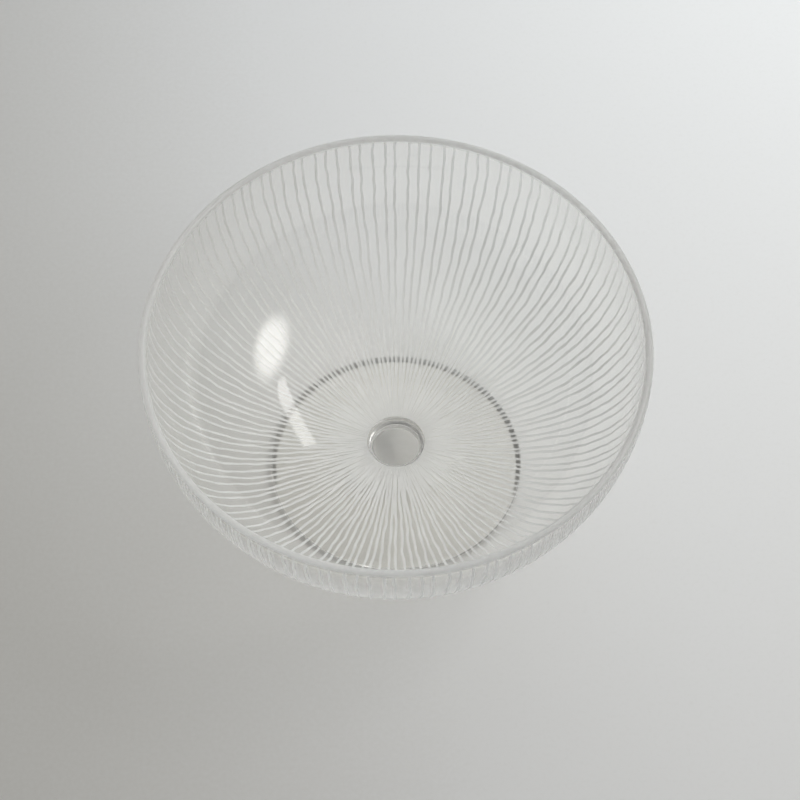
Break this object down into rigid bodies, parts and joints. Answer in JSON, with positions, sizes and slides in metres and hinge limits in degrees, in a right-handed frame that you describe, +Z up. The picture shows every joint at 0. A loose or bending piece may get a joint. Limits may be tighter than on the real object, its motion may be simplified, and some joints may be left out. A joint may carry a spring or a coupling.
{
  "type": "compote dish",
  "caption": "Small footed dessert dish in clear glass: thin round bowl with fine milky threads running from stem to rim, short flared stem and round foot.",
  "frame": {"origin": "centre of the foot's underside, on the plane that the dish stands on", "axes": "+Z up along the axis of the bowl, stem and foot; X and Y are equal because the dish is round"},
  "size_m": [0.1204, 0.1204, 0.06],
  "materials": {
    "clear_glass": "clear, fire-polished",
    "opal_glass": "milky, slightly satin"
  },
  "bodies": {
    "root": {"bowl": "clear_glass", "stem": "clear_glass", "foot": "clear_glass", "opal_threads": "opal_glass"}
  },
  "joints": []
}
